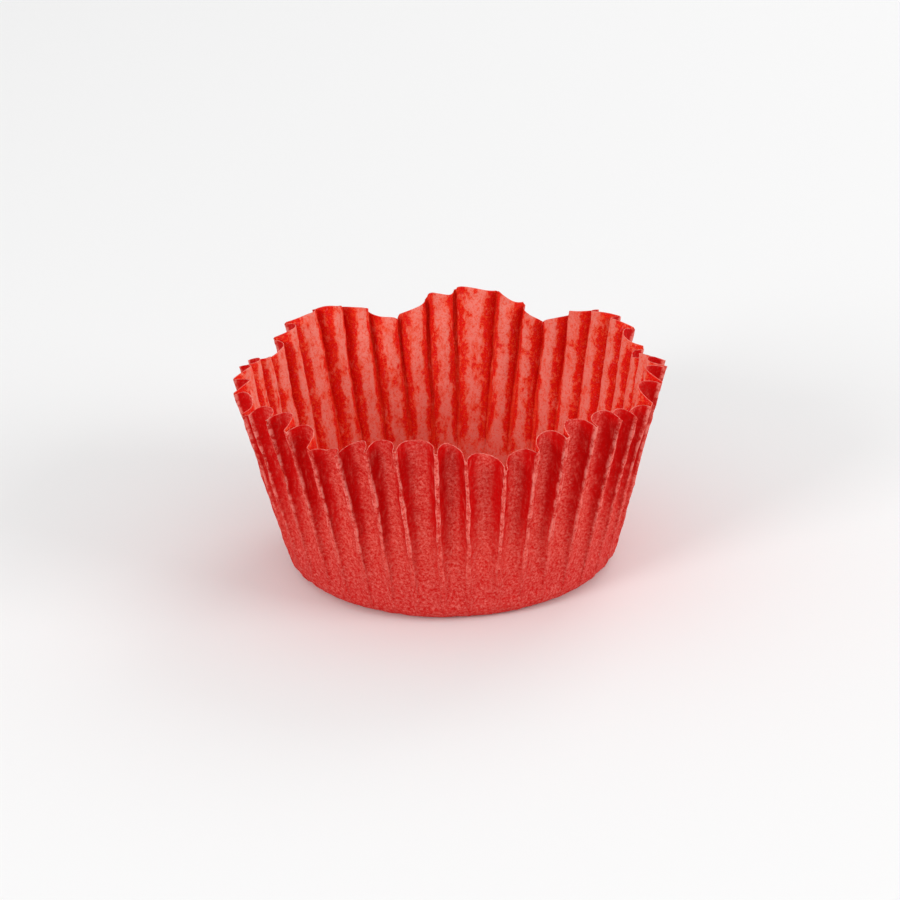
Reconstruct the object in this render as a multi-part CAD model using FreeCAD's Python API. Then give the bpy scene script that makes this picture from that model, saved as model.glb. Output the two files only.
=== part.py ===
"""A fluted paper cake case with a petal rim, in millimetres.

The case is one disc of greaseproof paper. Its edge is cut into petals, and a fluted die presses it
into a cup: a flat round base, a small rounded fold, and a wall of flutes that leans out. A flute is
nothing at the fold and deepest at the rim, because the disc has more paper there to take up.
A ridge is narrow and flat, and the channel beside it is round. Each of the two is a fan of flat
triangles that starts from one point of the fold, and a line up the wall keeps its length on the
disc. A channel leans out less than a ridge, so it ends a little higher.
The origin is the middle of the base, on the surface that the case stands on, and +Z is up.
"""

import FreeCAD
import Part
import os
from FreeCAD import Vector
from math import copysign, cos, pi, radians, sin, sqrt, tan

# The disc of paper, as it is cut.
PAPER = 0.08
PETAL_TIP_DIAMETER = 114.0
PETAL_COUNT = 8
NOTCH_DEPTH = 4.2

# The cup that the die presses. A lean is an angle in degrees out from upright.
BASE_DIAMETER = 50.0
FOLD_RADIUS = 3.0
FLUTE_COUNT = 42
RIDGE_LEAN = 15.4
CHANNEL_LEAN = 9.8

# How much of a flute's width its flat ridge takes. The round channel takes the rest.
RIDGE_SHARE = 0.11

# Degrees from the front, anticlockwise seen from above, to the first notch between petals.
FIRST_NOTCH = 13.7

# How finely the curves are drawn: the flat bands of the fold, and the steps in a quarter flute.
FOLD_BANDS = 4
QUARTER_FLUTE_STEPS = 4

FRONT = -90.0
OUTSIDE = 1
INSIDE = -1
UP = Vector(0, 0, 1)
HALF_FLUTE_STEPS = 2 * QUARTER_FLUTE_STEPS
RIM_STEPS = 2 * HALF_FLUTE_STEPS * FLUTE_COUNT
MEAN_LEAN = (RIDGE_LEAN + CHANNEL_LEAN) / 2
FOLD_TURN = pi / 2 - radians(MEAN_LEAN)
FLAT_RADIUS = BASE_DIAMETER / 2 - FOLD_RADIUS * tan(FOLD_TURN / 2)


def outward(turn):
    """The level direction away from the axis, at an angle in radians from the first notch."""
    bearing = radians(FRONT + FIRST_NOTCH) + turn
    return Vector(cos(bearing), sin(bearing), 0)


def petal_edge(turn):
    """The cut edge's distance from the disc's middle. Each petal is an arc of one circle."""
    tip = PETAL_TIP_DIAMETER / 2
    notch = tip - NOTCH_DEPTH
    half_petal = pi / PETAL_COUNT
    arc_middle = (tip**2 - notch**2) / (2 * (tip - notch * cos(half_petal)))
    arc_radius = tip - arc_middle
    from_middle = turn % (2 * half_petal) - half_petal
    across = arc_middle * sin(from_middle)
    return arc_middle * cos(from_middle) + sqrt(arc_radius**2 - across**2)


def fold_row(band, side):
    """The fold's points at the top of a band. Every second one is below a ridge, from the first on."""
    turned = FOLD_TURN * band / FOLD_BANDS
    radius = FOLD_RADIUS + side * PAPER / 2
    out = FLAT_RADIUS + radius * sin(turned)
    height = PAPER / 2 + FOLD_RADIUS - radius * cos(turned)
    return [outward(pi * i / FLUTE_COUNT) * out + UP * height for i in range(2 * FLUTE_COUNT)]


def half_flute_point(steps):
    """How far across half a flute a point is, from a ridge's middle, and how deep in the channel it is.

    Both are shares. The first step crosses the flat ridge, and the others go down a quarter ellipse.
    """
    if steps == 0:
        return 0, 0
    round_the_ellipse = pi / 2 * (steps - 1) / (HALF_FLUTE_STEPS - 1)
    return RIDGE_SHARE + (1 - RIDGE_SHARE) * (1 - cos(round_the_ellipse)), sin(round_the_ellipse)


def rim_point(step):
    """A point on the middle of the paper at the cut edge. The steps count from a ridge's middle."""
    ridge = (step + HALF_FLUTE_STEPS) // (2 * HALF_FLUTE_STEPS)
    from_ridge = step - ridge * 2 * HALF_FLUTE_STEPS
    across, depth = half_flute_point(abs(from_ridge))
    turn = (2 * ridge + copysign(across, from_ridge)) * pi / FLUTE_COUNT
    lean = radians(RIDGE_LEAN + (CHANNEL_LEAN - RIDGE_LEAN) * depth)
    length = petal_edge(2 * pi * step / RIM_STEPS) - FLAT_RADIUS - FOLD_RADIUS * FOLD_TURN
    out = FLAT_RADIUS + FOLD_RADIUS * sin(FOLD_TURN) + length * sin(lean)
    height = PAPER / 2 + FOLD_RADIUS * (1 - cos(FOLD_TURN)) + length * cos(lean)
    return outward(turn) * out + UP * height


def fan_start(step):
    """Which point of the fold the triangle after a rim point starts from: even ones carry ridges."""
    return (step + QUARTER_FLUTE_STEPS) // HALF_FLUTE_STEPS % (2 * FLUTE_COUNT)


def rim_row(side):
    """The rim's points on one face of the paper, each lifted square off the triangles beside it."""
    middle = [rim_point(step) for step in range(RIM_STEPS)]
    foot = fold_row(FOLD_BANDS, 0)
    squares = []
    for step, point in enumerate(middle):
        along = middle[(step + 1) % len(middle)] - point
        up_wall = point - foot[fan_start(step)]
        squares.append(along.cross(up_wall).normalize())
    row = []
    for step, point in enumerate(middle):
        before, after = squares[step - 1], squares[step]
        lift = (before + after) * (1 / (1 + before.dot(after)))
        row.append(point + lift * (side * PAPER / 2))
    return row


def flat_face(*corners):
    """A flat face between the corners given."""
    return Part.Face(Part.makePolygon([*corners, corners[0]]))


def next_in(row, i):
    """The point after the one numbered, round a closed row."""
    return row[(i + 1) % len(row)]


def paper_faces(side):
    """One face of the paper: the base, the bands of the fold and the fans of the wall."""
    rows = [fold_row(band, side) for band in range(FOLD_BANDS + 1)]
    faces = [flat_face(*rows[0])]
    for low, high in zip(rows, rows[1:]):
        for i in range(len(low)):
            faces.append(flat_face(low[i], next_in(low, i), next_in(high, i), high[i]))
    foot, rim = rows[-1], rim_row(side)
    for step, point in enumerate(rim):
        start = fan_start(step)
        faces.append(flat_face(foot[start], next_in(rim, step), point))
        if fan_start(step + 1) != start:
            faces.append(flat_face(foot[start], next_in(foot, start), next_in(rim, step)))
    return faces


def cut_edge():
    """The thin edge of the paper round the rim, between its two faces."""
    outer, inner = rim_row(OUTSIDE), rim_row(INSIDE)
    faces = []
    for i in range(len(outer)):
        faces.append(flat_face(outer[i], next_in(outer, i), inner[i]))
        faces.append(flat_face(next_in(outer, i), next_in(inner, i), inner[i]))
    return faces


def paper_liner():
    """The whole case, as one closed solid."""
    shell = Part.makeShell(paper_faces(OUTSIDE) + paper_faces(INSIDE) + cut_edge())
    shell.sewShape()
    return Part.makeSolid(shell)


os.makedirs("parts", exist_ok=True)
liner = paper_liner()
liner.exportStep("parts/paper_liner.step")
print("paper_liner", "valid" if liner.isValid() else "NOT VALID", f"{liner.Volume:.1f} mm3")
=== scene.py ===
"""A red fluted paper baking cup with a petal rim, on a pale studio floor.

The cup is made as the real one is. A flat disc of greaseproof paper is spun and its edge is cut into
petals. A die then presses it: a round base stays flat, a small fold turns up round it, and the rest
becomes a wall of flutes that leans out. The flutes wander and crinkle as thin paper does, and the
paper gets its thickness last. Lengths are in metres, and angles in radians.
"""

from math import atan2, cos, floor, hypot, pi, radians, sin, tan

import bmesh
import bpy
from bpy.props import FloatProperty, FloatVectorProperty, IntProperty, PointerProperty
from mathutils import Euler, Matrix, Vector, noise


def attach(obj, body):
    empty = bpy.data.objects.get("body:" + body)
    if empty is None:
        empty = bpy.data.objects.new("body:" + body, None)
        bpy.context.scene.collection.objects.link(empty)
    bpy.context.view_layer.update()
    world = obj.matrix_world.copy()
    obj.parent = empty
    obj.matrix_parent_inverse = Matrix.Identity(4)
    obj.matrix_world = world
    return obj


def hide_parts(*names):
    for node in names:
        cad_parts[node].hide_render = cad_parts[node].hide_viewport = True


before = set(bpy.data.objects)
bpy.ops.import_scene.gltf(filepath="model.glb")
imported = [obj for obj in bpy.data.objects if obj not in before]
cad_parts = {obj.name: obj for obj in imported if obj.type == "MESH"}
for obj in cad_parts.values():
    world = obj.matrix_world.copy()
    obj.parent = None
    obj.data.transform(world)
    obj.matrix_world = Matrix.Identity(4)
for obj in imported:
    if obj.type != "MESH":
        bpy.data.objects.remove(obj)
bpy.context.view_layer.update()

bl_info = {
    "name": "Paper Baking Cup",
    "version": (1, 0, 0),
    "blender": (4, 5, 0),
    "location": "3D View > Sidebar > Baking Cup",
    "description": "Presses a fluted paper baking cup from a flat disc and sets it on a studio floor",
    "category": "Add Mesh",
}

NODE = "paper_liner"
BODY = "root"
MM = 0.001
FRONT = radians(-90)

# How the paper is divided before it is pressed. Half a flute runs from the middle of a flat ridge over
# its crease and down to the middle of a round channel, and the two have so many columns.
RIDGE_COLUMNS = 2
CHANNEL_COLUMNS = 8
HALF_FLUTE = RIDGE_COLUMNS + CHANNEL_COLUMNS
BASE_RINGS = 3
FOLD_RINGS = 5
WALL_RINGS = 49

# What the mesh keeps for its materials, each from 0 to 1: on a ridge's flat top, on its crease, how far
# down into the channel, how far up the wall, and on the cut edge.
MARKS = ("crest", "crease", "descent", "climb", "lip")

# The band along the cut edge that the knife has roughened.
LIP = 0.14 * MM

# The paper rests on a few of its fibres, so the floor is this far below it.
FLOOR_GAP = 0.03 * MM

# The soft lamps: where each hangs, and how wide it is.
KEY_PLACE = (-0.74, -0.74, 0.46)
KEY_WIDTH = 0.35
FILL_PLACE = (0.96, -0.44, 0.42)
FILL_WIDTH = 0.60
BACK_PLACE = (0.35, 0.60, 0.55)
BACK_WIDTH = 0.40

# From the middle of the floor to its sides.
FLOOR_REACH = 4.0

# How deep the paper's fibres are, how strongly they show, and how much light the paper lets through.
FIBRE_DEPTH = 0.12 * MM
FIBRE_STRENGTH = 0.45
GLOW_SHARE = 0.32

# How flat a petal's top is: 2 is a parabola. How square a channel is: 1 is an ellipse, and 0 a box.
PETAL_CURVE = 2.0
CHANNEL_CURVE = 0.88

# The notches between the petals, anticlockwise from the first: how far each has slipped round from its
# even place, in degrees, and its depth as a share of the usual one.
NOTCH_SLIPS = (0, 2, 0, 2, 1.7, 5.6, 6.5, -3)
NOTCH_SHARES = (1.0, 0.9, 0.9, 1.2, 1.1, 0.98, 0.98, 0.85)

# How much longer each petal has come out than the usual one, anticlockwise from the first notch.
PETAL_RISES_MM = (0, 0, 0, 0, 0, -1.5, 0, 0)

# How far each ridge has slipped round at the rim, in degrees, anticlockwise from the first notch.
RIDGE_SLIPS = (
    0.5, 0.5, 0.2, 0.6, 2.2, 2.4, 2.6,
    2.8, 2.6, 0.6, 1.0, 1.8, 0.6, -0.6,
    -0.3, -0.8, -0.8, -2.2, -2.6, 0.7, 0.5,
    0.2, 0.3, 0.5, 0.1, 2.3, 0.2, 0.4,
    -2.1, -2.8, -2.4, -3.2, -2.6, -2.0, 0.4,
    0.2, -1.6, -1.0, -1.1, -2.0, -0.2, -1.1,
)


class CupSizes(bpy.types.PropertyGroup):
    """The disc of paper and the cup that the die presses from it."""

    paper: FloatProperty(
        name="Paper", description="How thick the paper is", default=0.08 * MM, unit="LENGTH", precision=5
    )
    petal_tip_diameter: FloatProperty(
        name="Disc", description="Across the flat disc at its petal tips", default=113.4 * MM, unit="LENGTH"
    )
    notch_depth: FloatProperty(
        name="Notches", description="From a petal's tip down to the notch beside it", default=4.2 * MM,
        unit="LENGTH",
    )
    petal_count: IntProperty(name="Petals", description="How many petals the rim has", default=8, min=3)
    flute_count: IntProperty(
        name="Flutes", description="How many flutes run up the wall", default=42, min=3
    )
    base_diameter: FloatProperty(
        name="Base", description="Across the flat base, to the corner of the wall", default=50 * MM,
        unit="LENGTH",
    )
    fold_radius: FloatProperty(
        name="Fold", description="The rounding between the base and the wall", default=3 * MM, unit="LENGTH"
    )
    ridge_width: FloatProperty(
        name="Ridge Width", description="Across the flat top of a ridge, low on the wall", default=0.48 * MM,
        unit="LENGTH", precision=5,
    )
    ridge_tip_width: FloatProperty(
        name="Ridge Tip Width", description="Across the flat top of a ridge, at the rim", default=0.36 * MM,
        unit="LENGTH", precision=5,
    )
    ridge_lean: FloatProperty(
        name="Ridge Lean", description="How far a ridge leans out from upright", default=radians(15.2),
        unit="ROTATION",
    )
    channel_lean: FloatProperty(
        name="Channel Lean", description="How far a channel leans out from upright", default=radians(9.9),
        unit="ROTATION",
    )
    channel_rise: FloatProperty(
        name="Channel Rise", description="How much farther than a ridge's the paper of a channel reaches",
        default=0.38 * MM, unit="LENGTH", precision=5,
    )
    first_notch: FloatProperty(
        name="First Notch", description="From the front, anticlockwise seen from above, to a notch",
        default=radians(13.7), unit="ROTATION",
    )


class CupWear(bpy.types.PropertyGroup):
    """How unevenly the thin paper has taken the die's shape."""

    wander: FloatProperty(
        name="Wander", description="How far a ridge strays sideways on its way up", default=0.17 * MM,
        unit="LENGTH", precision=5,
    )
    pinch_marks: FloatProperty(
        name="Pinch Marks", description="How deep the small dents in a ridge's creases are",
        default=0.22 * MM, unit="LENGTH", precision=5,
    )
    crumple: FloatProperty(
        name="Crumple", description="How far the sheet itself buckles in and out", default=0.18 * MM,
        unit="LENGTH", precision=5,
    )
    belly: FloatProperty(
        name="Belly", description="How far the wall springs out above the fold", default=0.40 * MM,
        unit="LENGTH", precision=5,
    )
    fold_ripple: FloatProperty(
        name="Fold Ripple", description="How far the flutes stand out where they begin, at the fold",
        default=0.09 * MM, unit="LENGTH", precision=5,
    )
    tongue_skew: FloatProperty(
        name="Tongue Skew", description="How much higher a channel's tip ends on one of its sides",
        default=0.50 * MM, unit="LENGTH", precision=5,
    )


def paper_colour(name, description, default):
    """A colour setting of the paper."""
    return FloatVectorProperty(
        name=name, description=description, default=default, subtype="COLOR", min=0, max=1
    )


class CupColours(bpy.types.PropertyGroup):
    """The dye of the paper, which is never even, outside and inside, with painted shade and painted highlight
    on the flutes.
    """

    outside: paper_colour("Outside", "The usual colour outside", (0.720, 0.092, 0.068))
    # Painted shade on the sides of the channels, with the dye's dark blotches and flecks.
    outside_deep_shade_and_fleck: paper_colour("Outside Deep", "The sides of the channels", (0.540, 0.001, 0.001))
    # Painted highlight on the flat top of a ridge.
    outside_ridge_highlight: paper_colour("Outside Pale", "The flat top of a ridge", (0.900, 0.200, 0.160))
    # Duller near the base, and painted shade on the channel tips near the rim.
    outside_dull_and_shade: paper_colour("Outside Dull", "Outside, near the rim and the base", (0.620, 0.062, 0.052))
    # Painted highlight along the ridge creases, and bare fibre at the cut edge and in the grain.
    rubbed_and_highlight: paper_colour("Rubbed", "Creases and the cut edge, with bare fibre", (0.980, 0.350, 0.290))
    inside: paper_colour("Inside", "The usual colour inside", (0.990, 0.105, 0.032))
    inside_deep: paper_colour("Inside Deep", "The dark spots inside", (0.860, 0.001, 0.001))
    inside_pale: paper_colour("Inside Pale", "The pale bands inside", (0.995, 0.350, 0.275))
    glow: paper_colour("Glow", "The light that comes through the paper", (0.920, 0.018, 0.006))


class StageSettings(bpy.types.PropertyGroup):
    """The floor, the light and the camera."""

    floor_colour: FloatVectorProperty(
        name="Floor", description="The colour of the floor and the backdrop", subtype="COLOR",
        default=(0.87, 0.87, 0.87), min=0, max=1,
    )
    daylight: FloatProperty(
        name="Daylight", description="How bright the even light from all round is", default=0.70, min=0
    )
    key_power: FloatProperty(
        name="Key Lamp", description="The power of the soft lamp at the front left", default=4.8,
        unit="POWER",
    )
    fill_power: FloatProperty(
        name="Fill Lamp", description="The power of the soft lamp at the front right", default=5.8,
        unit="POWER",
    )
    back_power: FloatProperty(
        name="Back Lamp", description="The power of the soft lamp behind, which shines through the paper",
        default=1.2, unit="POWER",
    )
    elevation: FloatProperty(
        name="Camera Height", description="How far the camera looks down", default=radians(23.5),
        unit="ROTATION",
    )
    roll: FloatProperty(
        name="Camera Roll", description="How far the camera is tipped clockwise", default=radians(1.7),
        unit="ROTATION",
    )
    distance: FloatProperty(
        name="Camera Distance", description="From the camera to the cup", default=0.5, unit="LENGTH"
    )
    view_width: FloatProperty(
        name="View Width", description="How much of the floor the picture is wide, at the cup",
        default=139.8 * MM, unit="LENGTH",
    )
    aim_height: FloatProperty(
        name="Aim Height", description="The height that the camera looks at", default=17.25 * MM,
        unit="LENGTH",
    )


def between(low, high, share):
    """The value that is a share of the way from low to high."""
    return low + (high - low) * share


def swell(share):
    """A smooth rise from 0 to 1."""
    return 0.5 - 0.5 * cos(pi * min(1.0, max(0.0, share)))


def uneven(*place):
    """A smooth random number between about -1 and 1 that belongs to a place."""
    return 1.6 * noise.noise(Vector(place))


def kinked(seed, place):
    """A random number between about -1 and 1 that changes in straight runs, as a crease in paper does."""
    place += 0.618 * seed
    bend = floor(place)
    before = uneven(seed * 3.71, bend * 1.37, 0.5)
    after = uneven(seed * 3.71, (bend + 1) * 1.37, 0.5)
    return between(before, after, place - bend)


class Die:
    """What the press does to each point of the flat disc."""

    def __init__(self, sizes, wear):
        self.sizes = sizes
        self.wear = wear
        self.flutes = sizes.flute_count
        self.mean_lean = (sizes.ridge_lean + sizes.channel_lean) / 2
        self.fold_turn = pi / 2 - self.mean_lean
        self.flat_radius = sizes.base_diameter / 2 - sizes.fold_radius * tan(self.fold_turn / 2)
        self.fold_end = self.flat_radius + sizes.fold_radius * self.fold_turn
        self.foot_radius = self.flat_radius + sizes.fold_radius * sin(self.fold_turn)
        self.wall = sizes.petal_tip_diameter / 2 - self.fold_end
        self.notches = []
        for i in range(-1, sizes.petal_count + 2):
            slip = radians(NOTCH_SLIPS[i % len(NOTCH_SLIPS)])
            depth = sizes.notch_depth * NOTCH_SHARES[i % len(NOTCH_SHARES)]
            rise = PETAL_RISES_MM[i % len(PETAL_RISES_MM)] * MM
            self.notches.append((2 * pi * i / sizes.petal_count + slip, depth, rise))

    def cut_edge(self, turn):
        """The disc's radius at its cut edge, at an angle from the first notch."""
        turn %= 2 * pi
        for (start, start_depth, rise), (end, end_depth, _) in zip(self.notches, self.notches[1:]):
            if start <= turn < end:
                across = 2 * (turn - start) / (end - start) - 1
                depth = rise + (start_depth if across < 0 else end_depth)
                return self.sizes.petal_tip_diameter / 2 + rise - depth * abs(across) ** PETAL_CURVE
        raise ValueError("an angle lies between no two notches")

    def ridge_bearing(self, ridge, climb, around):
        """Where the middle of a ridge is round the cup, at a share of the wall's height."""
        number = ridge % self.flutes
        slip = radians(RIDGE_SLIPS[number % len(RIDGE_SLIPS)]) * between(0.15, 1.0, climb)
        sway = uneven(number * 3.7, climb * 2.5, 0.5) + 0.6 * kinked(number, climb * 11)
        stray = sway * swell(climb * 4) * self.wear.wander / around
        return FRONT + self.sizes.first_notch + 2 * pi * ridge / self.flutes + slip + stray

    def crease_place(self, ridge, side, climb, half_pitch):
        """How far the crease on one side of a ridge is from the ridge's middle."""
        number = ridge % self.flutes
        width = between(self.sizes.ridge_width, self.sizes.ridge_tip_width, swell(climb * 1.6 - 0.6))
        nip = 0.30 * uneven(number * 2.9, climb * 1.5, 6.5) + 0.35 * kinked(number * 2 + side, climb * 22)
        return min(width * (1 + nip) / 2, half_pitch / 2)

    def press(self, radius, turn):
        """Where a point of the flat disc ends, and where it is on its flute."""
        sizes, wear = self.sizes, self.wear
        column = turn * self.flutes * 2 * HALF_FLUTE / (2 * pi)
        ridge = floor(column / (2 * HALF_FLUTE) + 0.5)
        column -= ridge * 2 * HALF_FLUTE
        side = 1 if column >= 0 else -1
        column = abs(column)
        number = ridge % self.flutes
        channel = (ridge if side > 0 else ridge - 1) % self.flutes

        climb = max(0.0, radius - self.fold_end) / self.wall
        slant = climb * self.wall
        around = self.foot_radius + slant * sin(self.mean_lean)
        middle = self.ridge_bearing(ridge, climb, around)
        half_pitch = side * (self.ridge_bearing(ridge + side, climb, around) - middle) * around / 2
        width_share = half_pitch * self.flutes / (pi * around)

        ridge_lean = sizes.ridge_lean + radians(0.30) * uneven(number * 6.1, 1.5, 2.5)
        swing = (sizes.ridge_lean - sizes.channel_lean) * between(1.6, 1.0, width_share)
        channel_lean = ridge_lean - swing * (1 + 0.12 * uneven(channel * 7.7, 3.5, 8.5))
        crease = self.crease_place(ridge, side, climb, half_pitch)
        descent = max(0.0, column - RIDGE_COLUMNS) / CHANNEL_COLUMNS
        curve = CHANNEL_CURVE * (1 + 0.14 * uneven(channel * 5.3, 2.5, 4.5))
        depth = sin(descent * pi / 2) ** curve
        place = crease * min(1.0, column / RIDGE_COLUMNS)
        place += (half_pitch - crease) * (1 - abs(cos(descent * pi / 2)) ** curve)
        bearing = middle + side * place / around
        lean = between(ridge_lean, channel_lean, depth)
        rise = sizes.channel_rise * (1 + 0.9 * uneven(channel * 3.3, 5.5, 1.5))
        skew = side * wear.tongue_skew * sin(descent * pi) * uneven(channel * 4.9, 7.5, 2.5)
        slant += climb * (depth * rise + climb**3 * skew)

        folded = min(max(0.0, radius - self.flat_radius) / sizes.fold_radius, self.fold_turn)
        begun = swell(folded / self.fold_turn)
        out = min(radius, self.flat_radius) + sizes.fold_radius * sin(folded) + slant * sin(lean)
        out += wear.belly * begun * (1 - swell(climb / 0.8)) + wear.fold_ripple * (1 - 2 * depth) * begun
        height = sizes.paper / 2 + sizes.fold_radius * (1 - cos(folded)) + slant * cos(lean)

        top = min(1.0, max(0.0, RIDGE_COLUMNS + 1 - column))
        dent = max(0.0, kinked(number * 2 + side + 90, climb * 24) - 0.15)
        out -= top * wear.pinch_marks * dent * swell(climb * 5)
        marks = {
            "crest": top,
            "crease": max(0.0, 1 - abs(column - RIDGE_COLUMNS)),
            "descent": descent,
            "climb": climb,
        }
        return Vector((out * cos(bearing), out * sin(bearing), height)), marks


def flat_disc(die):
    """A bmesh of the uncut disc: one spoke from the middle to the edge, spun full circle."""
    lip = die.fold_end + die.wall - LIP
    radii = [die.flat_radius * (i + 1) / BASE_RINGS for i in range(BASE_RINGS)]
    radii += [between(die.flat_radius, die.fold_end, (i + 1) / FOLD_RINGS) for i in range(FOLD_RINGS)]
    radii += [between(die.fold_end, lip, (i + 1) / WALL_RINGS) for i in range(WALL_RINGS)]
    radii.append(die.fold_end + die.wall)
    disc = bmesh.new()
    end = disc.verts.new((0, 0, 0))
    for radius in radii:
        spoke = bmesh.ops.extrude_vert_indiv(disc, verts=[end])
        end = spoke["verts"][0]
        end.co = (radius, 0, 0)
    bmesh.ops.spin(
        disc,
        geom=disc.verts[:] + disc.edges[:],
        cent=(0, 0, 0),
        axis=(0, 0, 1),
        dvec=(0, 0, 0),
        angle=2 * pi,
        steps=die.flutes * 2 * HALF_FLUTE,
        use_merge=True,
        use_duplicate=False,
    )
    bmesh.ops.remove_doubles(disc, verts=disc.verts, dist=0.001 * MM)
    bmesh.ops.recalc_face_normals(disc, faces=disc.faces)
    if sum(face.normal.z for face in disc.faces) > 0:
        bmesh.ops.reverse_faces(disc, faces=disc.faces)
    return disc


def cut_petals(disc, die):
    """Draws the wall's rings in, so that the outermost follows the petal edge."""
    whole = die.wall
    for vert in disc.verts:
        radius = hypot(vert.co.x, vert.co.y)
        if radius > die.fold_end:
            edge = die.cut_edge(atan2(vert.co.y, vert.co.x))
            kept = die.fold_end + (radius - die.fold_end) * (edge - die.fold_end) / whole
            vert.co *= kept / radius


def crumple_height(flat, die):
    """How far the sheet buckles out at a point of the flat disc."""
    radius = hypot(flat.x, flat.y)
    place = flat / MM
    broad = uneven(place.x / 6, place.y / 6, 11)
    crease = abs(uneven(place.x / 2.6, place.y / 2.6, 17)) - 0.3
    fine = abs(uneven(place.x / 1.3, place.y / 1.3, 23)) - 0.3
    amount = die.wear.crumple * (0.7 * broad + 0.7 * crease + 0.4 * fine)
    return amount * swell((radius - die.flat_radius * 0.6) / (die.fold_end - die.flat_radius * 0.6))


def pressed_cup(die):
    """The mesh of the cup, with no thickness yet, and with its flat layout kept as a map."""
    cup = flat_disc(die)
    cut_petals(cup, die)
    layout = cup.loops.layers.uv.new("flat_paper")
    width = die.sizes.petal_tip_diameter
    for face in cup.faces:
        face.smooth = True
        for loop in face.loops:
            loop[layout].uv = (loop.vert.co.x / width + 0.5, loop.vert.co.y / width + 0.5)
    layers = {name: cup.verts.layers.float.new(name) for name in MARKS}
    flat = {vert: vert.co.copy() for vert in cup.verts}
    for vert, place in flat.items():
        vert.co, marks = die.press(hypot(place.x, place.y), atan2(place.y, place.x))
        marks["lip"] = 1.0 if vert.is_boundary else 0.0
        for name, amount in marks.items():
            vert[layers[name]] = amount
    cup.normal_update()
    lifts = {vert: vert.normal * crumple_height(place, die) for vert, place in flat.items()}
    for vert, lift in lifts.items():
        vert.co += lift
        vert.co.z = max(vert.co.z, die.sizes.paper / 2)
    mesh = bpy.data.meshes.new("baking_cup")
    cup.to_mesh(mesh)
    cup.free()
    return mesh


class Wave:
    """A number that changes over a surface. Sums with it are written as sums, and become Math nodes."""

    def __init__(self, shader, socket):
        self.shader = shader
        self.socket = socket

    def math(self, operation, *values):
        """The result of one Math node on this number and others."""
        node = self.shader.node("ShaderNodeMath", {"operation": operation}, dict(enumerate(values)))
        return Wave(self.shader, node.outputs[0])

    def __add__(self, other):
        return self.math("ADD", self, other)

    def __sub__(self, other):
        return self.math("SUBTRACT", self, other)

    def __rsub__(self, other):
        return self.math("SUBTRACT", other, self)

    def __mul__(self, other):
        return self.math("MULTIPLY", self, other)

    __radd__ = __add__
    __rmul__ = __mul__

    def clear(self):
        """The number, kept between 0 and 1."""
        node = self.shader.node("ShaderNodeClamp", {}, {0: self, 1: 0.0, 2: 1.0})
        return Wave(self.shader, node.outputs[0])

    def stretch(self, low, high):
        """The number, moved so that low becomes 0 and high becomes 1, and kept between them."""
        node = self.shader.node(
            "ShaderNodeMapRange", {"interpolation_type": "SMOOTHSTEP"}, {0: self, 1: low, 2: high}
        )
        return Wave(self.shader, node.outputs[0])


class Shader:
    """A material's nodes."""

    def __init__(self, name):
        self.material = bpy.data.materials.new(name)
        self.material.use_nodes = True
        self.tree = self.material.node_tree
        self.tree.nodes.clear()

    def node(self, kind, settings, sockets):
        """A node of a kind: its settings are made first, and then its sockets are set or linked."""
        node = self.tree.nodes.new(kind)
        for name, value in settings.items():
            setattr(node, name, value)
        for name, value in sockets.items():
            if isinstance(value, Wave):
                value = value.socket
            if isinstance(value, bpy.types.NodeSocket):
                self.tree.links.new(value, node.inputs[name])
            else:
                node.inputs[name].default_value = value
        return node

    def noise(self, place, size, detail=3.0, roughness=0.55, offset=0.0):
        """Smooth random patches of about a size, from 0 to 1."""
        moved = self.node("ShaderNodeVectorMath", {"operation": "ADD"}, {0: place, 1: (offset, offset, 0)})
        node = self.node(
            "ShaderNodeTexNoise",
            {},
            {"Vector": moved.outputs[0], "Scale": 1 / size, "Detail": detail, "Roughness": roughness},
        )
        return Wave(self, node.outputs["Fac"])

    def squash(self, place, upright):
        """A place with its height shrunk, so that patches on it are drawn out upwards."""
        node = self.node("ShaderNodeVectorMath", {"operation": "MULTIPLY"}, {0: place, 1: (1, 1, upright)})
        return node.outputs[0]

    def attribute(self, name):
        """A number that is kept on the mesh's points."""
        node = self.node("ShaderNodeAttribute", {"attribute_name": name}, {})
        return Wave(self, node.outputs["Fac"])

    def blend(self, first, second, share):
        """A colour between two others."""
        node = self.node("ShaderNodeMix", {"data_type": "RGBA"}, {0: share, 6: first, 7: second})
        return node.outputs[2]


def rgba(colour):
    """A colour with full opacity."""
    return (*colour, 1.0)


def paper_surface(shader, colour, bump_height, glow_colour):
    """Thin matt paper of a colour, which lets some light through."""
    relief = shader.node(
        "ShaderNodeBump", {}, {"Strength": FIBRE_STRENGTH, "Distance": FIBRE_DEPTH, "Height": bump_height}
    )
    front = shader.node(
        "ShaderNodeBsdfPrincipled",
        {},
        {
            "Base Color": colour,
            "Roughness": 0.55 + 0.2 * bump_height,
            "Specular IOR Level": 0.06,
            "Normal": relief.outputs[0],
        },
    )
    through = shader.node("ShaderNodeBsdfTranslucent", {}, {"Color": rgba(glow_colour)})
    both = shader.node("ShaderNodeMixShader", {}, {0: GLOW_SHARE, 1: front.outputs[0], 2: through.outputs[0]})
    shader.node("ShaderNodeOutputMaterial", {}, {"Surface": both.outputs[0]})
    return shader.material


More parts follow.
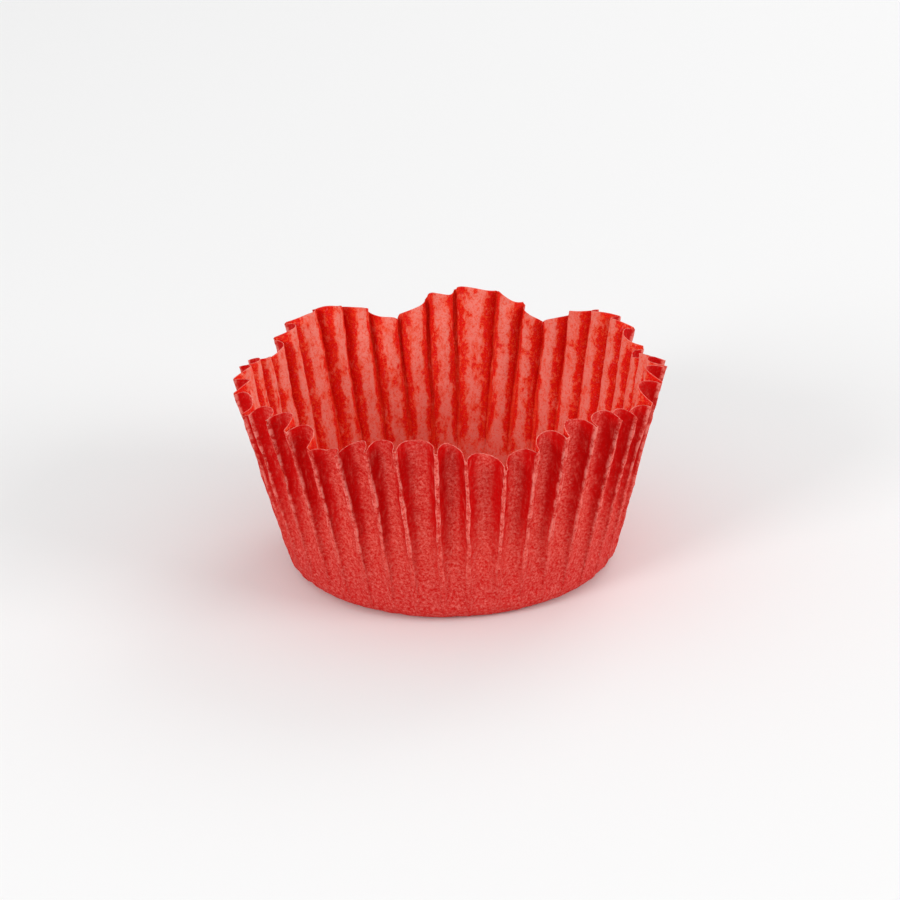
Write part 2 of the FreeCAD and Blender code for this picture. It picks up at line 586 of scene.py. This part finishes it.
def outside_finish(colours):
    """The outside of the paper: a fine grain, deep channel sides and channel tips as painted shade, and pale
    ridges and creases as painted highlight.
    """
    shader = Shader("paper_outside")
    place = shader.node("ShaderNodeTexCoord", {}, {}).outputs["Object"]
    crest, crease, descent, climb, lip = (shader.attribute(name) for name in MARKS)
    streak = shader.noise(shader.squash(place, 0.35), 0.9 * MM, 3.0, 0.6, 0.11)
    patch = shader.noise(place, 1.4 * MM, 3.0, 0.65, 0.31)
    grain = shader.noise(place, 0.42 * MM, 3.0, 0.8, 0.77)
    risen = climb.stretch(0.05, 0.65)

    colour = shader.blend(rgba(colours.outside), rgba(colours.outside_dull_and_shade), 1 - climb.stretch(0.0, 0.40))
    # Painted shade on the channels' tips, near the rim.
    tongue_shade = climb.stretch(0.84, 1.0) * (1 - crest) * 0.7
    colour = shader.blend(colour, rgba(colours.outside_dull_and_shade), tongue_shade)
    # Painted shade: the sides of the channels, between a ridge top and the channel's middle, are painted deep
    # red up the wall, with random blotches added.
    side = (1 - crest) * (1 - descent.stretch(0.50, 0.92))
    blotch = (0.5 * streak + 0.5 * patch).stretch(0.52, 0.40)
    deep = side * (0.9 * streak + 0.4 * grain).stretch(0.49, 0.65) + 0.45 * blotch
    deep = (deep * risen).clear()
    colour = shader.blend(colour, rgba(colours.outside_deep_shade_and_fleck), deep)
    # Painted highlight: the flat ridge tops are painted paler up the wall, broken by patches.
    pale = crest * patch.stretch(0.40, 0.62) * risen * 0.95
    colour = shader.blend(colour, rgba(colours.outside_ridge_highlight), pale)
    colour = shader.blend(colour, rgba(colours.outside_deep_shade_and_fleck), grain.stretch(0.51, 0.38) * 0.85)
    colour = shader.blend(colour, rgba(colours.rubbed_and_highlight), grain.stretch(0.50, 0.68) * (0.42 - 0.34 * deep))
    # Painted highlight along the ridge creases, and real wear along the cut edge.
    crease_highlight_and_lip_wear = (crease * patch.stretch(0.46, 0.58) * risen * 0.7 + lip * patch.stretch(0.42, 0.58) * 0.6).clear()
    colour = shader.blend(colour, rgba(colours.rubbed_and_highlight), crease_highlight_and_lip_wear)

    bump_height = 0.35 * patch + 0.65 * grain
    return paper_surface(shader, colour, bump_height, colours.glow)


def inside_finish(colours):
    """The inside of the paper: pale and grainy, with deep spots that collect along the grooves as painted
    shade.
    """
    shader = Shader("paper_inside")
    place = shader.node("ShaderNodeTexCoord", {}, {}).outputs["Object"]
    crest, _, descent, climb, lip = (shader.attribute(name) for name in MARKS)
    tall = shader.squash(place, 0.6)
    patch = shader.noise(tall, 1.5 * MM, 2.0, 0.5, 0.41)
    spot = shader.noise(tall, 0.6 * MM, 3.0, 0.7, 0.93)
    grain = shader.noise(place, 0.46 * MM, 3.0, 0.8, 0.57)
    shaded_groove = 1 - descent.stretch(0.50, 0.85)

    begun = climb.stretch(0.0, 0.3)
    # Painted shade: the dark spots collect along the grooves up the wall, and thin a little low down.
    groove_shade = shaded_groove * begun * 0.12 - (1 - begun) * 0.02
    mottle = 0.34 * patch + 0.30 * spot + 0.36 * grain + groove_shade
    colour = shader.blend(rgba(colours.inside_pale), rgba(colours.inside), mottle.stretch(0.49, 0.59))
    colour = shader.blend(colour, rgba(colours.inside_deep), mottle.stretch(0.55, 0.61))
    colour = shader.blend(colour, rgba(colours.inside), grain.stretch(0.52, 0.38) * 0.75)
    colour = shader.blend(colour, rgba(colours.rubbed_and_highlight), grain.stretch(0.52, 0.72) * 0.40)
    # Painted shade: the grooves behind the ridge tops are painted a deeper red.
    colour = shader.blend(colour, rgba(colours.inside), crest * begun * 0.35)
    colour = shader.blend(colour, rgba(colours.rubbed_and_highlight), lip * 0.5)

    bump_height = 0.4 * patch + 0.6 * grain
    return paper_surface(shader, colour, bump_height, colours.glow)


def cut_edge_finish(colours):
    """The edge that the knife left: bare fibres, with little dye."""
    shader = Shader("cut_paper_edge")
    place = shader.node("ShaderNodeTexCoord", {}, {}).outputs["Object"]
    fleck = shader.noise(place, 0.3 * MM, 2.0, 0.6)
    colour = shader.blend(rgba(colours.outside), rgba(colours.rubbed_and_highlight), fleck.stretch(0.4, 0.7))
    surface = shader.node(
        "ShaderNodeBsdfPrincipled", {}, {"Base Color": colour, "Roughness": 0.8, "Specular IOR Level": 0.06}
    )
    shader.node("ShaderNodeOutputMaterial", {}, {"Surface": surface.outputs[0]})
    return shader.material


class OBJECT_OT_press_baking_cup(bpy.types.Operator):
    """Press the fluted paper cup from a flat disc"""

    bl_idname = "object.press_baking_cup"
    bl_label = "Press Baking Cup"
    bl_options = {"REGISTER", "UNDO"}

    def execute(self, context):
        scene = context.scene
        die = Die(scene.cup_sizes, scene.cup_wear)
        cup = bpy.data.objects.new("baking_cup", pressed_cup(die))
        scene.collection.objects.link(cup)
        for finish in (outside_finish, inside_finish, cut_edge_finish):
            cup.data.materials.append(finish(scene.cup_colours))
        thickness = cup.modifiers.new("paper", "SOLIDIFY")
        thickness.thickness = scene.cup_sizes.paper
        thickness.offset = 0
        thickness.material_offset = 1
        thickness.material_offset_rim = 2
        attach(cup, BODY)
        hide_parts(NODE)
        return {"FINISHED"}


def soft_lamp(scene, name, power, width, place):
    """A square soft lamp that faces the cup."""
    data = bpy.data.lights.new(name, "AREA")
    data.energy = power
    data.size = width
    lamp = bpy.data.objects.new(name, data)
    lamp.location = place
    lamp.rotation_euler = (-Vector(place)).to_track_quat("-Z", "Y").to_euler()
    scene.collection.objects.link(lamp)


def floor_finish(colour):
    """A plain matte sheet."""
    shader = Shader("studio_floor")
    surface = shader.node(
        "ShaderNodeBsdfPrincipled",
        {},
        {"Base Color": rgba(colour), "Roughness": 0.9, "Specular IOR Level": 0.1},
    )
    shader.node("ShaderNodeOutputMaterial", {}, {"Surface": surface.outputs[0]})
    return shader.material


class SCENE_OT_set_cup_stage(bpy.types.Operator):
    """Lay the floor, hang the lamps and set up the camera"""

    bl_idname = "scene.set_cup_stage"
    bl_label = "Set Stage"
    bl_options = {"REGISTER", "UNDO"}

    def execute(self, context):
        scene = context.scene
        stage = scene.cup_stage
        grid = bmesh.new()
        bmesh.ops.create_grid(grid, x_segments=1, y_segments=1, size=FLOOR_REACH)
        mesh = bpy.data.meshes.new("studio_floor")
        grid.to_mesh(mesh)
        grid.free()
        mesh.materials.append(floor_finish(stage.floor_colour))
        floor_sheet = bpy.data.objects.new("studio_floor", mesh)
        floor_sheet.location = (0, 0, -FLOOR_GAP)
        scene.collection.objects.link(floor_sheet)

        world = bpy.data.worlds.new("studio_daylight")
        world.use_nodes = True
        background = world.node_tree.nodes["Background"]
        background.inputs["Color"].default_value = (1, 1, 1, 1)
        background.inputs["Strength"].default_value = stage.daylight
        scene.world = world
        soft_lamp(scene, "key_lamp", stage.key_power, KEY_WIDTH, KEY_PLACE)
        soft_lamp(scene, "fill_lamp", stage.fill_power, FILL_WIDTH, FILL_PLACE)
        soft_lamp(scene, "back_lamp", stage.back_power, BACK_WIDTH, BACK_PLACE)

        data = bpy.data.cameras.new("camera")
        data.sensor_width = 36
        data.lens = data.sensor_width * stage.distance / stage.view_width
        data.clip_end = 20
        camera = bpy.data.objects.new("camera", data)
        aim = Vector((0, 0, stage.aim_height))
        offset = Vector((0, -cos(stage.elevation), sin(stage.elevation))) * stage.distance
        camera.matrix_world = (
            Matrix.Translation(aim + offset)
            @ Euler((pi / 2 - stage.elevation, 0, 0)).to_matrix().to_4x4()
            @ Matrix.Rotation(-stage.roll, 4, "Z")
        )
        scene.collection.objects.link(camera)
        scene.camera = camera
        scene.view_settings.view_transform = "Standard"
        return {"FINISHED"}


class VIEW3D_PT_baking_cup(bpy.types.Panel):
    """Sizes, wear, colours and stage of the baking cup"""

    bl_label = "Baking Cup"
    bl_idname = "VIEW3D_PT_baking_cup"
    bl_space_type = "VIEW_3D"
    bl_region_type = "UI"
    bl_category = "Baking Cup"

    def draw(self, context):
        column = self.layout.column()
        for group in GROUPS:
            column.label(text=group.__doc__)
            settings = getattr(context.scene, GROUPS[group])
            for name in group.__annotations__:
                column.prop(settings, name)
        column.operator(OBJECT_OT_press_baking_cup.bl_idname)
        column.operator(SCENE_OT_set_cup_stage.bl_idname)


GROUPS = {
    CupSizes: "cup_sizes",
    CupWear: "cup_wear",
    CupColours: "cup_colours",
    StageSettings: "cup_stage",
}
CLASSES = (*GROUPS, OBJECT_OT_press_baking_cup, SCENE_OT_set_cup_stage, VIEW3D_PT_baking_cup)


def register():
    """Makes the settings, the operators and the panel known."""
    for item in CLASSES:
        bpy.utils.register_class(item)
    for group, name in GROUPS.items():
        setattr(bpy.types.Scene, name, PointerProperty(type=group))


def unregister():
    """Takes the settings, the operators and the panel away again."""
    for name in GROUPS.values():
        delattr(bpy.types.Scene, name)
    for item in reversed(CLASSES):
        bpy.utils.unregister_class(item)


def main():
    """Builds the cup and the stage."""
    register()
    bpy.ops.object.press_baking_cup()
    bpy.ops.scene.set_cup_stage()


if __name__ == "__main__":
    main()
